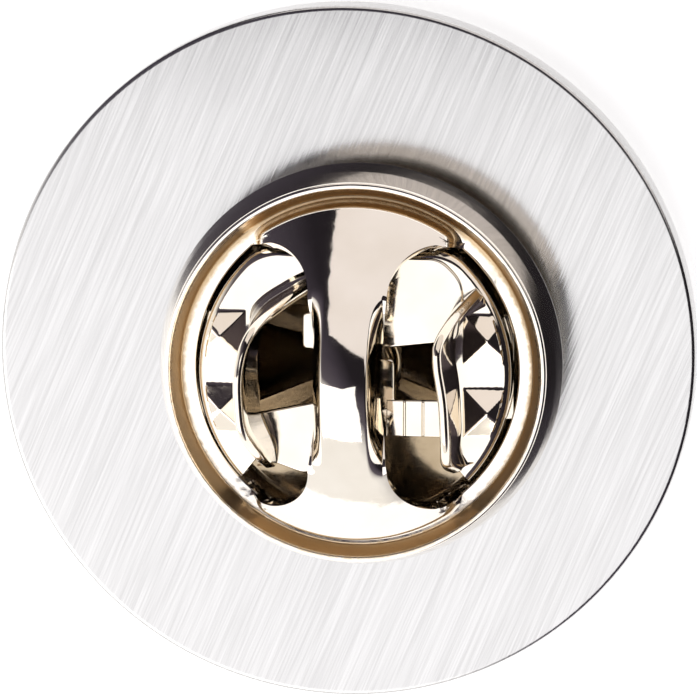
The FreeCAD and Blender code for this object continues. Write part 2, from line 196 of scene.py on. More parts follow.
class Nodes:
    """Short way to write a material's nodes."""

    def __init__(self, name):
        self.material = bpy.data.materials.new(name)
        self.material.use_nodes = True
        self.tree = self.material.node_tree
        self.tree.nodes.clear()
        self.output = self.add("ShaderNodeOutputMaterial")
        self.shader = self.add("ShaderNodeBsdfPrincipled")
        self.link(self.shader, "BSDF", self.output, "Surface")

    def add(self, kind, **settings):
        node = self.tree.nodes.new(kind)
        for key, value in settings.items():
            setattr(node, key, value)
        return node

    def link(self, source, out_name, target, in_name):
        self.tree.links.new(source.outputs[out_name], target.inputs[in_name])

    def position(self, scale, turn=0.0):
        """Object coordinates in millimetres, turned about Z, then scaled along each axis."""
        coordinates = self.add("ShaderNodeTexCoord")
        turned = self.add("ShaderNodeMapping", vector_type="POINT")
        turned.inputs["Rotation"].default_value = (0, 0, turn)
        self.link(coordinates, "Object", turned, "Vector")
        scaled = self.add("ShaderNodeMapping", vector_type="POINT")
        scaled.inputs["Scale"].default_value = [value / MM for value in scale]
        self.link(turned, "Vector", scaled, "Vector")
        return scaled

    def noise(self, place, detail=4.0, rough=0.5, scale=1.0):
        node = self.add("ShaderNodeTexNoise")
        node.inputs["Scale"].default_value = scale
        node.inputs["Detail"].default_value = detail
        node.inputs["Roughness"].default_value = rough
        self.link(place, "Vector", node, "Vector")
        return node

    def ramp(self, source, out_name, stops):
        """Colour ramp: stops are (position, colour)."""
        node = self.add("ShaderNodeValToRGB")
        elements = node.color_ramp.elements
        while len(elements) > len(stops):
            elements.remove(elements[-1])
        while len(elements) < len(stops):
            elements.new(1.0)
        for element, (position, colour) in zip(elements, stops):
            element.position = position
            element.color = (*colour, 1)
        self.link(source, out_name, node, "Fac")
        return node

    def range(self, source, out_name, low, high, from_low=0.0, from_high=1.0):
        node = self.add("ShaderNodeMapRange")
        node.inputs["From Min"].default_value = from_low
        node.inputs["From Max"].default_value = from_high
        node.inputs["To Min"].default_value = low
        node.inputs["To Max"].default_value = high
        self.link(source, out_name, node, "Value")
        return node

    def bump(self, source, out_name, strength, distance_mm, after=None):
        node = self.add("ShaderNodeBump")
        node.inputs["Strength"].default_value = strength
        node.inputs["Distance"].default_value = distance_mm * MM
        self.link(source, out_name, node, "Height")
        if after is not None:
            self.link(after, "Normal", node, "Normal")
        return node


# Noise scales are in features per millimetre, along the grain and across it.
FINE_GRAIN = (0.30, 13.0, 13.0)
BROAD_GRAIN = (0.10, 3.2, 3.2)
DISC_GRAIN_TURN = math.radians(67)
STEEL_DARK = (0.52, 0.515, 0.51)
STEEL_LIGHT = (0.63, 0.625, 0.62)
STEEL_ROUGHNESS = (0.14, 0.18)

# A brass-coloured band painted on the inner wall of the cap's rim is a painted reflection of the
# clutch's warm inside; the band is rougher too.
RIM_REFLECTION_COLOUR = (0.58, 0.42, 0.24)
RIM_REFLECTION_ROUGHER = 0.34
RIM_REFLECTION_RADIUS = 5.03
RIM_REFLECTION_HALF_WIDTH = 0.19
RIM_REFLECTION_SHIFT = Vector((0, -0.06, 0))
RIM_REFLECTION_MOTTLE = 0.03


def brushed_metal(name, turn):
    """Satin steel with a straight brush grain; turn is the grain's angle from X."""
    nodes = Nodes(name)
    nodes.shader.inputs["Metallic"].default_value = 1.0
    fine = nodes.noise(nodes.position(FINE_GRAIN, -turn), 2.0, 0.6)
    broad = nodes.noise(nodes.position(BROAD_GRAIN, -turn), 3.0, 0.65)
    cloud = nodes.noise(nodes.position((0.25, 0.25, 0.25)), 2.0)
    tint = nodes.ramp(fine, "Fac", [(0.3, STEEL_DARK), (0.7, STEEL_LIGHT)])
    nodes.link(tint, "Color", nodes.shader, "Base Color")
    gloss = nodes.range(cloud, "Fac", *STEEL_ROUGHNESS, 0.3, 0.7)
    nodes.link(gloss, "Result", nodes.shader, "Roughness")
    first = nodes.bump(broad, "Fac", 0.35, 0.012)
    second = nodes.bump(fine, "Fac", 0.35, 0.004, first)
    nodes.link(second, "Normal", nodes.shader, "Normal")
    return nodes.material


def nickel_plate(name, dark, light, rough, rim_reflection=None):
    """Bright plated metal: a mirror with faint ripples, polishing haze and warm variation.

    The last argument, a (centre, ring, half_width) band about an upright axis, gets a painted
    reflection there: a brass colour mixed over the plating, and more roughness.
    """
    nodes = Nodes(name)
    nodes.shader.inputs["Metallic"].default_value = 1.0
    cloud = nodes.noise(nodes.position((0.5, 0.5, 0.5)), 3.0)
    grain = nodes.noise(nodes.position((14.0, 14.0, 14.0)), 3.0, 0.65)
    ripple = nodes.noise(nodes.position((1.1, 1.1, 1.1)), 2.0)
    tint = nodes.ramp(cloud, "Fac", [(0.35, dark), (0.65, light)])
    if rim_reflection:
        # Painted reflection: the band's brass colour is mixed over the plating's tint
        shown = painted_reflection_band(nodes, *rim_reflection)
        mixed = nodes.add("ShaderNodeMix", data_type="RGBA")
        mixed.inputs[7].default_value = (*RIM_REFLECTION_COLOUR, 1)
        nodes.link(shown, "Result", mixed, "Factor")
        nodes.tree.links.new(tint.outputs["Color"], mixed.inputs[6])
        nodes.tree.links.new(mixed.outputs[2], nodes.shader.inputs["Base Color"])
        # The painted reflection's band is made rougher as well
        rim_band_roughness = nodes.add("ShaderNodeMath", operation="MULTIPLY_ADD")
        rim_band_roughness.inputs[1].default_value = RIM_REFLECTION_ROUGHER
        nodes.link(shown, "Result", rim_band_roughness, "Value")
    else:
        nodes.link(tint, "Color", nodes.shader, "Base Color")
    gloss = nodes.range(grain, "Fac", rough * 0.7, rough * 1.5, 0.3, 0.75)
    if rim_reflection:
        nodes.tree.links.new(gloss.outputs["Result"], rim_band_roughness.inputs[2])
        nodes.link(rim_band_roughness, "Value", nodes.shader, "Roughness")
    else:
        nodes.link(gloss, "Result", nodes.shader, "Roughness")
    first = nodes.bump(ripple, "Fac", 0.35, 0.03)
    second = nodes.bump(grain, "Fac", 0.12, 0.0015, first)
    nodes.link(second, "Normal", nodes.shader, "Normal")
    return nodes.material


def painted_reflection_band(nodes, centre, ring, half_width):
    """Mask of the painted reflection: 1 on a ring about an upright axis, 0 away from it, with a
    mottled edge.
    """
    coordinates = nodes.add("ShaderNodeTexCoord")
    flat = nodes.add("ShaderNodeVectorMath", operation="SUBTRACT")
    flat.inputs[1].default_value = Vector((centre.x, centre.y, 0)) * MM
    nodes.link(coordinates, "Object", flat, "Vector")
    level = nodes.add("ShaderNodeVectorMath", operation="MULTIPLY")
    level.inputs[1].default_value = (1, 1, 0)
    nodes.link(flat, "Vector", level, "Vector")
    length = nodes.add("ShaderNodeVectorMath", operation="LENGTH")
    nodes.link(level, "Vector", length, "Vector")
    mottle = nodes.noise(nodes.position((6.0, 6.0, 6.0)), 3.0)
    shift = nodes.range(mottle, "Fac", -RIM_REFLECTION_MOTTLE * MM, RIM_REFLECTION_MOTTLE * MM, 0.3, 0.7)
    place = nodes.add("ShaderNodeMath", operation="ADD")
    nodes.tree.links.new(length.outputs["Value"], place.inputs[0])
    nodes.tree.links.new(shift.outputs["Result"], place.inputs[1])
    away = nodes.add("ShaderNodeMath", operation="SUBTRACT")
    away.inputs[1].default_value = ring * MM
    nodes.tree.links.new(place.outputs["Value"], away.inputs[0])
    size = nodes.add("ShaderNodeMath", operation="ABSOLUTE")
    nodes.tree.links.new(away.outputs["Value"], size.inputs[0])
    return nodes.range(size, "Value", 0.9, 0.0, half_width * 0.6 * MM, half_width * 1.2 * MM)


brushed = brushed_metal("brushed_plate", DISC_GRAIN_TURN)
# The cap's nickel carries the painted reflection band on its rim
nickel = nickel_plate("nickel_plate", (0.80, 0.745, 0.665), (0.86, 0.81, 0.74), 0.055,
                      (POST_AXIS + RIM_REFLECTION_SHIFT, RIM_REFLECTION_RADIUS, RIM_REFLECTION_HALF_WIDTH))
# The pan's dark brown is painted shade: it darkens the window floors and the gap under the
# clutch, where little light reaches
pan_metal_and_painted_shade = nickel_plate("pan_metal_and_painted_shade", (0.36, 0.28, 0.18), (0.50, 0.41, 0.29), 0.12)
spring_nickel = nickel_plate("spring_metal", (0.80, 0.72, 0.60), (0.86, 0.79, 0.69), 0.07)
post_metal = nickel_plate("post_metal", (0.70, 0.67, 0.62), (0.78, 0.75, 0.70), 0.16)
solder_metal = nickel_plate("solder_metal", (0.50, 0.50, 0.49), (0.62, 0.61, 0.60), 0.3)


# ---------------------------------------------------------------- badge

DISC_EDGE = 0.16
DISC_STEPS = 384

POST_RADIUS = 0.55
POST_HEAD_THICK = 0.3
POST_TIP_LENGTH = 1.1
POST_POINT_RADIUS = 0.1
GROOVE_LOW = 4.9
GROOVE_HIGH = 5.4
GROOVE_DEPTH = 0.1
GROOVE_SLOPE = 0.08

SOLDER_LAP = 0.02
SOLDER_BASE = 0.001


def make_disc():
    mesh_data = bmesh.new()
    outline = rounded([
        (0, 0, 0),
        (DISC_RADIUS, 0, DISC_EDGE),
        (DISC_RADIUS, DISC_THICK, DISC_EDGE),
        (0, DISC_THICK, 0),
    ], steps=8)
    lathe(mesh_data, outline, DISC_STEPS)
    new_piece("disc_plate", mesh_data, "badge", "badge_disc", brushed,
              Vector((0, 0, 0)))


def make_post():
    """Nail with a flat head on the disc, a grip groove and a pointed end."""
    length = post_high.z - post_low.z
    head = (post_high.x - post_low.x) / 2
    waist = POST_RADIUS - GROOVE_DEPTH
    mesh_data = bmesh.new()
    outline = rounded([
        (0, 0, 0),
        (head, 0, 0.02),
        (head, POST_HEAD_THICK, 0.1),
        (POST_RADIUS, POST_HEAD_THICK, 0.12),
        (POST_RADIUS, GROOVE_LOW, 0.05),
        (waist, GROOVE_LOW + GROOVE_SLOPE, 0.06),
        (waist, GROOVE_HIGH - GROOVE_SLOPE, 0.06),
        (POST_RADIUS, GROOVE_HIGH, 0.05),
        (POST_RADIUS, length - POST_TIP_LENGTH, 0.5),
        (POST_POINT_RADIUS, length, 0.08),
        (0, length, 0),
    ])
    lathe(mesh_data, outline, 96)
    new_piece("nail_post", mesh_data, "badge", "pin_post", post_metal,
              POST_AXIS + Vector((0, 0, post_low.z)))


def make_solder():
    """Fillet round the nail's head, with a slightly uneven outer edge."""
    inner = (post_high.x - post_low.x) / 2 - SOLDER_LAP
    outer = (bead_high.x - bead_low.x) / 2
    rise = bead_high.z - bead_low.z
    mesh_data = bmesh.new()
    outline = rounded([
        (inner, SOLDER_BASE, 0),
        (outer, SOLDER_BASE, 0.02),
        (inner + (outer - inner) * 0.45, rise * 0.25, 0.3),
        (inner + 0.03, rise, 0.05),
        (inner, rise, 0),
    ])
    lathe(mesh_data, outline, 160)
    for vert in mesh_data.verts:
        angle = math.atan2(vert.co.y, vert.co.x)
        ripple = 1 + 0.018 * math.sin(3 * angle + 0.6) + 0.012 * math.sin(7 * angle)
        distance = math.hypot(vert.co.x, vert.co.y)
        if distance > inner + 0.05:
            shrink = 1 - (distance - inner) / (outer - inner) * (1 - ripple) - SOLDER_LAP
            vert.co.x *= shrink
            vert.co.y *= shrink
    new_piece("solder_fillet", mesh_data, "badge", "solder_bead", solder_metal,
              POST_AXIS + Vector((0, 0, bead_low.z)))


# ---------------------------------------------------------------- clutch

# Heights in the clutch are above the underside of its base.
BASE_FLAT = 4.55
FLANGE_INNER = 4.85
FLANGE_OUTER = 5.3
FLANGE_RISE = 0.4
BORE_RADIUS = 0.65
EYELET_RADIUS = 0.95

LIP_INNER = 5.06
LIP_OUTER = 5.44
LIP_TOP = 0.3
WALL_BULGE_Z = 0.62
WALL_MIDDLE_Z = 1.5
CREST_Z = 2.38
CREST_OUTER = 5.36
CREST_INNER = 5.2
WALL_INNER = 4.97

GUTTER_FLOOR = 1.7
GUTTER_INNER = 4.54
DOME_TOP = cap_high.z - base_low.z
DOME_FOOT = 4.88
DOME_FLATNESS = 1.6
DOME_STEP = 0.6
DOME_STEP_WIDTH = 0.2


def make_base():
    """Pan with a flange that the cap is crimped over, and an eyelet round the post."""
    top = base_high.z - base_low.z
    inward = SHEET * 0.6
    mesh_data = bmesh.new()
    outline = rounded([
        (BORE_RADIUS, 0, 0.18),
        (BASE_FLAT, 0, 0.3),
        (FLANGE_INNER, FLANGE_RISE, 0.15),
        (FLANGE_OUTER, FLANGE_RISE, 0.05),
        (FLANGE_OUTER, FLANGE_RISE + SHEET, 0.05),
        (FLANGE_INNER - inward, FLANGE_RISE + SHEET, 0.2),
        (BASE_FLAT - inward, SHEET, 0.15),
        (EYELET_RADIUS, SHEET, 0.12),
        (EYELET_RADIUS, top, 0.13),
        (BORE_RADIUS, top, 0.13),
    ])
    lathe(mesh_data, outline, 192)
    # The base pan takes the dark metal that carries painted shade
    new_piece("base_pan", mesh_data, "clutch", "clutch_base", pan_metal_and_painted_shade, CLUTCH)


def make_cap_ring():
    """The cap's rim: lip crimped under the base, bowed wall, rolled crest and gutter."""
    mesh_data = bmesh.new()
    outline = rounded([
        (LIP_INNER, 0.0, 0.06),
        (LIP_OUTER, -0.03, 0.3),
        (CAP_RADIUS + 0.02, WALL_BULGE_Z, 0.5),
        (CAP_RADIUS - 0.13, WALL_MIDDLE_Z, 1.6),
        (CREST_OUTER, CREST_Z, 0.1),
        (CREST_INNER, CREST_Z, 0.08),
        (WALL_INNER, GUTTER_FLOOR + 0.04, 0.1),
        (GUTTER_INNER, GUTTER_FLOOR, 0.05),
        (GUTTER_INNER, GUTTER_FLOOR - SHEET, 0.1),
        (WALL_INNER - 0.05, GUTTER_FLOOR - SHEET + 0.05, 0.1),
        (5.12, 1.8, 0.05),
        (5.38, 1.0, 0.1),
        (5.4, LIP_TOP, 0.1),
        (LIP_INNER, LIP_TOP, 0.05),
    ], steps=8)
    lathe(mesh_data, outline)
    new_piece("cap_ring", mesh_data, "clutch", "clutch_cap", nickel, CLUTCH)


def dome_height(radius):
    """Height of the dome's top at a radius: a shallow crown above a short step at its foot."""
    step = DOME_STEP * (1 - smooth_step(radius, DOME_FOOT - DOME_STEP_WIDTH, DOME_FOOT))
    rest = max(0.0, 1 - (radius / DOME_FOOT) ** DOME_FLATNESS)
    return GUTTER_FLOOR + step + (DOME_TOP - GUTTER_FLOOR - DOME_STEP) * rest


WINDOW_HALF = 3.72
WINDOW_RADIUS = 4.6
WINDOW_INNER_ROUND = 1.25
WINDOW_OUTER_ROUND = 1.5
BRIDGE_HALF = 0.93
BRIDGE_END_HALF = 1.1
WINDOW_END = 3.3

# The bridge's long edges roll down outside BRIDGE_FLAT, and the roll dies out along it.
BRIDGE_FLAT = 0.6
BRIDGE_DROP = 0.85
ROLL_LIMIT = 1.15
ROLL_FADE = (1.1, 2.8)
LINE_BEND = (1.2, 3.2)

# Beside the windows the dome sinks below the gutter's floor, between these distances in X.
DOME_FADE = (2.55, 3.15)
DOME_SUNK = 0.24

BRIDGE_STATIONS = 90
BRIDGE_COLUMNS = 48
BRIDGE_EDGE = 0.06


def bridge_half(y):
    """Half the bridge's width at a distance y along it: waisted in the middle."""
    share = min(1.0, y / (WINDOW_HALF - WINDOW_INNER_ROUND))
    return BRIDGE_HALF + (BRIDGE_END_HALF - BRIDGE_HALF) * share ** 2


def in_window(x, y):
    """Whether a point of the plan, x and y not negative, lies in a window of the cap."""
    if y >= WINDOW_HALF or math.hypot(x, y) >= WINDOW_RADIUS:
        return False
    inner_x = BRIDGE_END_HALF + WINDOW_INNER_ROUND
    inner_y = WINDOW_HALF - WINDOW_INNER_ROUND
    if y > inner_y and x < inner_x:
        return math.hypot(x - inner_x, y - inner_y) < WINDOW_INNER_ROUND
    outer_y = WINDOW_HALF - WINDOW_OUTER_ROUND
    outer_x = math.sqrt((WINDOW_RADIUS - WINDOW_OUTER_ROUND) ** 2 - outer_y ** 2)
    past = Vector((x - outer_x, y - outer_y))
    if past.x > 0 and past.y > past.x * outer_y / outer_x:
        return past.length < WINDOW_OUTER_ROUND
    return x > bridge_half(y)


def cross_line(reach, x):
    """The sheet's Y at x, on the line that crosses the middle at reach: straight across the
    bridge, and an arc about the post further out."""
    bend = smooth_step(reach, *LINE_BEND)
    return math.sqrt(max(0.0, reach ** 2 - bend * x ** 2))


def half_width(reach):
    """Where the line across the bridge first meets the window's edge."""
    step = 0.02
    x = 0.0
    while x < WINDOW_END and not in_window(x, cross_line(reach, x)):
        x += step
    low, high = max(0.0, x - step), min(x, WINDOW_END)
    for _ in range(20):
        middle = (low + high) / 2
        if in_window(middle, cross_line(reach, middle)):
            high = middle
        else:
            low = middle
    return low


def bridge_stations():
    """Distances from the middle up the middle line, from the gutter to the crown."""
    return [DOME_FOOT * max(0.0, math.cos(math.pi / 2 * step / BRIDGE_STATIONS))
            for step in range(BRIDGE_STATIONS + 1)]


def bridge_row(reach, side):
    """Points across the bridge at one station; its long edges are rolled down, and beside
    the windows the dome fades into the gutter's floor."""
    width = half_width(reach)
    fade = 1 - smooth_step(reach, *ROLL_FADE)
    row = []
    for step in range(-BRIDGE_COLUMNS, BRIDGE_COLUMNS + 1):
        share = math.sin(step / BRIDGE_COLUMNS * math.pi / 2)
        x = width * share
        y = cross_line(reach, x)
        over = min(ROLL_LIMIT, max(0.0, abs(x) - BRIDGE_FLAT) / (BRIDGE_HALF - BRIDGE_FLAT))
        z = dome_height(math.hypot(x, y)) - BRIDGE_DROP * over ** 2 * fade
        z += (GUTTER_FLOOR - DOME_SUNK - z) * smooth_step(abs(x), *DOME_FADE)
        row.append((x, y * side, z))
    return row


def make_cap_bridge():
    """The cap's dome above and below the windows, and the bridge between them, as one sheet."""
    stations = bridge_stations()
    rows = [bridge_row(reach, -1) for reach in stations]
    rows += [bridge_row(reach, 1) for reach in reversed(stations[:-1])]
    mesh_data = shell_from(rows, SHEET, BRIDGE_EDGE)
    new_piece("cap_bridge", mesh_data, "clutch", "clutch_cap", nickel, CLUTCH)


STRAP_CORNER_CUT = 0.57
STRAP_CORNER_ROUND = 0.3
STRAP_HOLE = 1.2
STRAP_EDGE = 0.06


def strap_outline():
    """Rectangle with cut and rounded corners, as wide and as long as the CAD strap."""
    half_x = (strap_high.x - strap_low.x) / 2
    half_y = (strap_high.y - strap_low.y) / 2
    corners = []
    for side_x, side_y in ((1, -1), (1, 1), (-1, 1), (-1, -1)):
        beside = (half_x * side_x, (half_y - STRAP_CORNER_CUT) * side_y, STRAP_CORNER_ROUND)
        along = ((half_x - STRAP_CORNER_CUT) * side_x, half_y * side_y, STRAP_CORNER_ROUND)
        corners += [beside, along] if side_x == side_y else [along, beside]
    return rounded(corners[1:] + corners[:1])


def make_strap():
    """Flat strap round the post, with a round hole."""
    low = strap_low.z - base_low.z
    high = strap_high.z - base_low.z
    outline = strap_outline()
    mesh_data = bmesh.new()
    loops = []
    for scale, radius, z in ((1, STRAP_HOLE, low + STRAP_EDGE),
                             (1 - STRAP_EDGE / 2, STRAP_HOLE + STRAP_EDGE, low),
                             (1 - STRAP_EDGE / 2, STRAP_HOLE + STRAP_EDGE, high),
                             (1, STRAP_HOLE, high - STRAP_EDGE)):
        outer = [mesh_data.verts.new((p.x * scale, p.y * scale, z)) for p in outline]
        inner = []
        for p in outline:
            direction = p.normalized() * radius
            inner.append(mesh_data.verts.new((direction.x, direction.y, z)))
        loops.append((outer, inner))
    for index in range(len(outline)):
        ahead = (index + 1) % len(outline)
        for first, second in zip(loops, loops[1:] + loops[:1]):
            for here, there in zip(first, second):
                mesh_data.faces.new((here[index], here[ahead], there[ahead], there[index]))
        for outer, inner in (loops[1], loops[2]):
            mesh_data.faces.new((outer[index], outer[ahead], inner[ahead], inner[index]))
    bmesh.ops.remove_doubles(mesh_data, verts=mesh_data.verts, dist=1e-6)
    new_piece("clip_strap", mesh_data, "clutch", "spring_strap", spring_nickel,
              CLUTCH)


# ---------------------------------------------------------------- wings

# The right wing is described. X runs out from the post and Y runs up the photograph.
WING_THICK = 0.26
SHEET_EDGE = 0.05
SKIRT_Z = 1.35
SHOULDER_Z = 2.4
SHOULDER_RISE = 0.16
SHOULDER_X = 2.7
LIP_SOUTH = -2.35
LIP_NORTH = 1.45
SHOULDER_BEND = 0.22
STUD_X = 3.74
STUD_Y = 1.03
STUD_HALF = 0.69
STUD_RISE = 0.34
OUTLINE_RADIUS = 4.38
OUTLINE_START = math.radians(-43)
OUTLINE_CORNER = 1.25
NORTH_Y = 3.5
BRIDGE_SIDE_X = 0.75

# Shares of the outline at which the arc, the corner and the lip end
ARC_END = 0.56
CORNER_END = 0.80

WING_COLUMNS = 190
SKIRT_STEPS = 8
BEND_STEPS = 8
SHOULDER_STEPS = 84


def outer_edge(t):
    """Plan outline of the wing's outside, from its south end (t = 0) to the bridge (t = 1)."""
    centre_radius = OUTLINE_RADIUS - OUTLINE_CORNER
    centre_y = NORTH_Y - OUTLINE_CORNER
    bend = math.asin(centre_y / centre_radius)
    centre = Vector((centre_radius * math.cos(bend), centre_y))
    if t < ARC_END:
        angle = OUTLINE_START + (bend - OUTLINE_START) * t / ARC_END
        return Vector((math.cos(angle), math.sin(angle))) * OUTLINE_RADIUS
    if t < CORNER_END:
        angle = bend + (math.pi / 2 - bend) * (t - ARC_END) / (CORNER_END - ARC_END)
        return centre + Vector((math.cos(angle), math.sin(angle))) * OUTLINE_CORNER
    share = (t - CORNER_END) / (1 - CORNER_END)
    top = centre + Vector((0, OUTLINE_CORNER))
    return top.lerp(Vector((BRIDGE_SIDE_X, top.y - 0.05)), share)


def inner_edge(t):
    """Plan outline of the wing's inside: under the lip, then across to the bridge."""
    if t < ARC_END:
        y = LIP_SOUTH + (LIP_NORTH - LIP_SOUTH) * t / ARC_END
        return Vector((SHOULDER_X, y))
    share = (t - ARC_END) / (1 - ARC_END)
    start = Vector((SHOULDER_X, LIP_NORTH))
    bow = 0.12 * math.sin(math.pi * share)
    return start.lerp(Vector((BRIDGE_SIDE_X, 2.75)), share) + Vector((bow, bow))


def shoulder_rise(t):
    """How far the shoulder climbs from its outside to its inside."""
    return SHOULDER_RISE * (1 - smooth_step(t, 0.35, 0.55))


# Each lip's path in plan and the height of its top, from its north end to its south end
RIGHT_LIP = [(3.5, 2.38, 2.58), (3.22, 2.14, 3.6), (2.88, 1.8, 5.1), (2.64, 1.33, 5.72),
             (2.63, 0.75, 5.8), (2.78, -0.22, 5.8), (2.84, -1.35, 5.7), (2.8, -2.1, 4.9),
             (2.95, -2.6, 3.2)]
LEFT_LIP = [(-0.95, 2.62, 2.75), (-1.75, 2.2, 4.0), (-2.5, 1.62, 5.5), (-2.84, 0.61, 5.8),
            (-2.84, -0.6, 5.8), (-2.72, -1.3, 5.6), (-2.4, -2.05, 4.6), (-2.3, -2.6, 3.0)]
LIP_STEPS = 12
LIP_FLARE = 0.5
LIP_ROUND_STEPS = 8
LIP_SUNK = 0.15


def smooth_path(knots, steps):
    """Catmull-Rom curve through the knots, with a few points from each to the next."""
    ends = [knots[0] * 2 - knots[1]] + knots + [knots[-1] * 2 - knots[-2]]
    path = []
    for index in range(1, len(ends) - 2):
        before, here, there, after = ends[index - 1:index + 3]
        for step in range(steps):
            t = step / steps
            path.append(0.5 * (2 * here + (there - before) * t
                               + (2 * before - 5 * here + 4 * there - after) * t ** 2
                               + (3 * here - before - 3 * there + after) * t ** 3))
    path.append(knots[-1])
    return path


def lip_ribbon(knots):
    """Upright lip along a path of (x, y, top), with a flared foot outside and a round top."""
    half = WING_THICK / 2
    foot = SHOULDER_Z + 0.02
    mesh_data = bmesh.new()
    path = smooth_path([Vector(knot) for knot in knots], LIP_STEPS)
    loops = []
    for index, point in enumerate(path):
        ahead = path[min(index + 1, len(path) - 1)] - path[max(index - 1, 0)]
        inward = Vector((-ahead.y, ahead.x)).normalized()
        if inward.dot(point.xy) > 0:
            inward = -inward
        top = point.z
        flare = min(LIP_FLARE, top - foot)
        spread = flare / LIP_FLARE
        profile = [(-half - 0.30 * spread, foot - 0.02), (-half - 0.15 * spread, foot),
                   (-half - 0.05 * spread, foot + 0.18 * flare), (-half, foot + 0.6 * flare)]
        for step in range(LIP_ROUND_STEPS + 1):
            turn = math.pi * step / LIP_ROUND_STEPS
            profile.append((-half * math.cos(turn), top - half + half * math.sin(turn)))
        profile += [(half, foot - 0.1), (0, foot - LIP_SUNK)]
        loop = []
        for along, z in profile:
            level = max(z, foot - LIP_SUNK) if along < half else z
            loop.append(mesh_data.verts.new((*(point.xy + inward * along), level)))
        loops.append(loop)
    count = len(loops[0])
    for here, there in zip(loops, loops[1:]):
        for index in range(count):
            ahead = (index + 1) % count
            mesh_data.faces.new((here[index], here[ahead], there[ahead], there[index]))
    mesh_data.faces.new(loops[0])
    mesh_data.faces.new(list(reversed(loops[-1])))
    return mesh_data


def stud_height(x, y):
    """How far the two four-sided studs rise above the shoulder at a point of the plan."""
    best = 0.0
    for centre in (-STUD_Y, STUD_Y):
        away = max(abs(y - centre), abs(x - STUD_X)) / STUD_HALF
        best = max(best, 1 - away)
    return STUD_RISE * best


def skirt_point(t, share):
    """Point of the wing's upright skirt, share of the way up it."""
    outer = outer_edge(t)
    return (outer.x, outer.y, SKIRT_Z + (SHOULDER_Z - SHOULDER_BEND - SKIRT_Z) * share)


def bend_point(t, share):
    """Point of the round bend between the skirt and the shoulder."""
    outer, inner = outer_edge(t), inner_edge(t)
    angle = math.pi / 2 * share
    inward = (inner - outer).normalized()
    place = outer + inward * SHOULDER_BEND * (1 - math.cos(angle))
    z = SHOULDER_Z - SHOULDER_BEND + SHOULDER_BEND * math.sin(angle)
    return (place.x, place.y, z)


def shoulder_point(t, share):
    """Point of the nearly level shoulder, with its studs."""
    outer, inner = outer_edge(t), inner_edge(t)
    across = (inner - outer).length
    reach = SHOULDER_BEND + (across - SHOULDER_BEND) * share
    place = outer + (inner - outer).normalized() * reach
    climb = ((reach - SHOULDER_BEND) / (across - SHOULDER_BEND)) ** 1.25
    z = SHOULDER_Z + shoulder_rise(t) * climb
    return (place.x, place.y, z + stud_height(place.x, place.y))


def wing_rows():
    """Rows of points over the outer face of the wing's shell, from the skirt's foot inward."""
    stations = [(skirt_point, step / SKIRT_STEPS) for step in range(SKIRT_STEPS)]
    stations += [(bend_point, step / BEND_STEPS) for step in range(BEND_STEPS)]
    stations += [(shoulder_point, step / SHOULDER_STEPS) for step in range(SHOULDER_STEPS + 1)]
    return [[place(column / WING_COLUMNS, share) for column in range(WING_COLUMNS + 1)]
            for place, share in stations]


ARM_NEAR_Y = 0.72
ARM_FAR_Y = 1.7
ARM_LOW = SHOULDER_Z - 0.15
ARM_HIGH = SHOULDER_Z + 0.12
ARM_EDGE = 0.05
BROAD_TIP_X = -1.45
FOLDED_TIP_X = -2.4

# The jaw is a tooth on the arm's near side, past the post.
JAW_OUTER_X = -1.15
JAW_INNER_X = -0.62
JAW_END_Y = -0.45

FOLD_ENDS = (-0.92, -1.44, -1.96)
FOLD_WIDTH = 0.49
FOLD_HALF_HEIGHT = 0.05
FOLD_NEAR_Y = 0.70
FOLD_FAR_Y = 1.72

FOOT_INNER_X = 3.75
FOOT_HALF_LENGTH = 1.5
FOOT_LOW = 0.6
FOOT_HIGH = 0.86
RISER_LOW = 0.7
KNUCKLE_X = 3.9
KNUCKLE_Z = 0.68
KNUCKLE_RADIUS = 0.17
KNUCKLE_HALF_LENGTH = 1.6


def arm_plate(broad):
    """Arm from the wing's end to the jaw that hooks round the post; the broad one covers
    the wing's flank as well, and the other one has folds across its end."""
    root = [(3.0, 1.2, 0.15), (2.9, 2.3, 0.4), (1.2, 2.9, 0.5)]
    tip = FOLDED_TIP_X
    if broad:
        root = [(2.9, 1.0, 0.3), (3.1, 2.6, 1.0), (2.4, 3.3, 0.8), (0.95, 3.3, 0.4)]
        tip = BROAD_TIP_X
    outline = rounded(root + [
        (0.4, 1.9, 0.7),
        (-1.2, 1.75, 0.2),
        (tip, ARM_FAR_Y, 0.25),
        (tip, ARM_NEAR_Y, 0.2),
        (JAW_OUTER_X, ARM_NEAR_Y, 0.1),
        (JAW_OUTER_X, JAW_END_Y, 0.2),
        (JAW_INNER_X, JAW_END_Y, 0.2),
        (JAW_INNER_X, 0.78, 0.2),
        (1.0, 0.78, 0.6),
    ])
    arm = plate(outline, ARM_LOW, ARM_HIGH, ARM_EDGE)
    if broad:
        return arm
    folds = []
    for end in FOLD_ENDS:
        fold = rounded([(end, FOLD_NEAR_Y, 0.04), (end, FOLD_FAR_Y, 0.04),
                        (end - FOLD_WIDTH, FOLD_FAR_Y, 0.04),
                        (end - FOLD_WIDTH, FOLD_NEAR_Y, 0.04)])
        folds.append(plate(fold, ARM_HIGH - FOLD_HALF_HEIGHT, ARM_HIGH + FOLD_HALF_HEIGHT, 0.03))
    return merge(arm, *folds)


